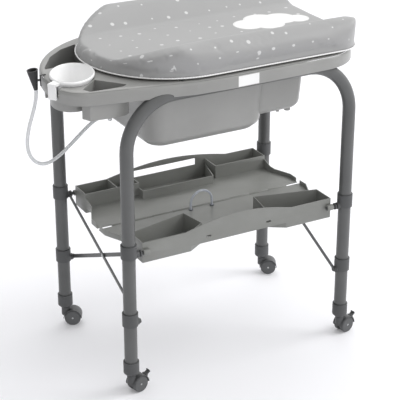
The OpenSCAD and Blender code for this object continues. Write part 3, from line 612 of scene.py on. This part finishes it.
def blow_up(piece, start):
    """Cloth with pressure and no gravity; no point moves further than MOST_AIR."""
    scene = bpy.context.scene
    cloth = piece.modifiers.new("air", "CLOTH")
    cloth.settings.use_pressure = True
    cloth.settings.uniform_pressure_force = 4.0
    cloth.settings.quality = 4
    cloth.settings.effector_weights.gravity = 0.0
    cloth.point_cache.frame_start = 1
    cloth.point_cache.frame_end = CLOTH_FRAMES
    for number in range(1, CLOTH_FRAMES + 1):
        scene.frame_set(number)
    graph = bpy.context.evaluated_depsgraph_get()
    moved = [v.co.copy() for v in piece.evaluated_get(graph).data.vertices]
    piece.modifiers.clear()
    scene.frame_set(1)
    for v, a, b in zip(piece.data.vertices, start, moved):
        step = b - a
        if step.length > MOST_AIR:
            step *= MOST_AIR / step.length
        v.co = a + step


def fit_inside(piece, low, high):
    """The mat keeps to its own place: flat underneath, and only a few mm past its solid elsewhere."""
    for v in piece.data.vertices:
        v.co.z = max(v.co.z, low.z + 0.5 * MM)
        v.co.z = min(v.co.z, high.z + 4 * MM)
        v.co.x = max(low.x - 3 * MM, min(high.x + 8 * MM, v.co.x))
        v.co.y = max(low.y - 6 * MM, min(high.y + 1 * MM, v.co.y))


def lay_cloth(piece, high):
    """Stores where each point lies on the flat cloth, so that the print runs on down the sides."""
    layer = piece.data.attributes.new("cloth", "FLOAT_VECTOR", "POINT")
    for v, item in zip(piece.data.vertices, layer.data):
        side = min(1.0, max(0.0, (0.8 - abs(v.normal.z)) / 0.4))
        down = (high.z - v.co.z) * side
        item.vector = (v.co.x + v.normal.x * down, v.co.y + v.normal.y * down, 0.0)


coated_cotton = mat_cloth()
binding = piping_cloth()
mat = padded_mat()
place_piece(mat, coated_cotton, "mat", SLOTS["mat_cushion"], "mat_cushion")


def mat_piping():
    """A round binding along the mat's lower edge."""
    low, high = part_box("mat_cushion")
    half = (high.y - low.y) / 2
    corner = MAT_CORNER
    left, right = low.x, high.x
    z = low.z + 1.0 * MM
    places = []
    for step in range(9):
        a = -pi / 2 + step * pi / 16
        places.append((right - corner + corner * cos(a), corner - half + corner * sin(a)))
    for step in range(9):
        a = step * pi / 16
        places.append((right - corner + corner * cos(a), half - corner + corner * sin(a)))
    for step in range(33):
        a = pi / 2 + step * pi / 32
        places.append((left + half + half * cos(a), half * sin(a)))
    curve = bpy.data.curves.new("mat_piping", "CURVE")
    curve.dimensions = "3D"
    curve.bevel_depth = 2.0 * MM
    curve.bevel_resolution = 3
    line = curve.splines.new("POLY")
    line.points.add(len(places) - 1)
    for point, (x, y) in zip(line.points, places):
        point.co = (x, y, z, 1.0)
    line.use_cyclic_u = True
    holder = bpy.data.objects.new("mat_piping_line", curve)
    bpy.context.scene.collection.objects.link(holder)
    piece = baked(holder, "mat_piping")
    for face in piece.data.polygons:
        face.use_smooth = True
    return piece


piping = mat_piping()
place_piece(piping, binding, "mat", SLOTS["mat_cushion"])

# ---------------------------------------------------------------- carried-over nodes

CARRIED = {
    "front_arch": powder_coat, "rear_arch": powder_coat,
    "saddles": polypropylene_bath, "bath_feet": polypropylene_bath, "name_plate": label_film,
    "drain_spout": clear_hose, "drain_plug": black_rubber, "hose_nozzle": black_rubber,
    "nozzle_clip": black_rubber, "mat_board": melamine, "mat_pads": black_rubber,
    "pull_loop": clear_loop, "loop_anchors": abs_button, "shelf_hinge_pin": steel,
    "hinge_leaves_bath": steel, "hinge_leaves_mat": steel, "mat_hinge_pins": steel,
}
for corner in ("fl", "fr", "rl", "rr"):
    CARRIED["stem_" + corner] = steel
    CARRIED["axle_" + corner] = steel
for name, finish in CARRIED.items():
    nodes[name].data.materials.clear()
    nodes[name].data.materials.append(finish)

# ---------------------------------------------------------------- floor and light


def floor():
    """A pale, plain studio floor, a little bright of its own."""
    bm = bmesh.new()
    bmesh.ops.create_grid(bm, x_segments=2, y_segments=2, size=12.0)
    made, tree, shader = material("pale_studio_floor")
    where = node(tree, "ShaderNodeTexCoord").outputs["Object"]
    drift = node(tree, "ShaderNodeTexNoise", {"Vector": where, "Scale": 1.5, "Detail": 2.0})
    tint = blend_colours(tree, drift.outputs["Fac"], colour("#e9e9ed"), colour("#ececef"))
    tree.links.new(tint, shader.inputs["Base Color"])
    shader.inputs["Roughness"].default_value = 0.9
    shader.inputs["Emission Color"].default_value = (1.0, 1.0, 1.0, 1.0)
    shader.inputs["Emission Strength"].default_value = 0.1
    piece = new_piece("floor", bm)
    piece.data.materials.append(made)


def soft_light(name, place, aim, size, watts):
    """A large square lamp turned towards aim."""
    data = bpy.data.lights.new(name, "AREA")
    data.shape = "SQUARE"
    data.size = size
    data.energy = watts
    lamp = bpy.data.objects.new(name, data)
    lamp.location = place
    lamp.rotation_euler = (Vector(aim) - Vector(place)).to_track_quat("-Z", "Y").to_euler()
    bpy.context.scene.collection.objects.link(lamp)


floor()
middle = (0.05, 0.0, 0.5)
soft_light("key", (5.2, -1.8, 4.8), middle, 3.2, 176)
soft_light("over", (0.6, 2.8, 6.0), middle, 4.8, 88)
soft_light("front", (-3.2, -6.8, 2.8), middle, 4.4, 16)

world = bpy.data.worlds.new("studio")
world.use_nodes = True
sky = world.node_tree
# The room is brighter on the right, so that the left sides of the tubes and of the mat fall darker.
side = node(sky, "ShaderNodeVectorMath", {0: node(sky, "ShaderNodeTexCoord").outputs["Generated"],
                                          1: (0.93, -0.25, 0.25)}, operation="DOT_PRODUCT")
brightness = node(sky, "ShaderNodeMapRange", {"Value": side.outputs["Value"], "From Min": -0.9,
                                              "From Max": 0.9, "To Min": 0.34, "To Max": 1.3})
sky.links.new(brightness.outputs["Result"], sky.nodes["Background"].inputs["Strength"])
sky.nodes["Background"].inputs["Color"].default_value = (1.0, 1.0, 1.0, 1.0)
bpy.context.scene.world = world
bpy.context.scene.view_settings.view_transform = "Standard"
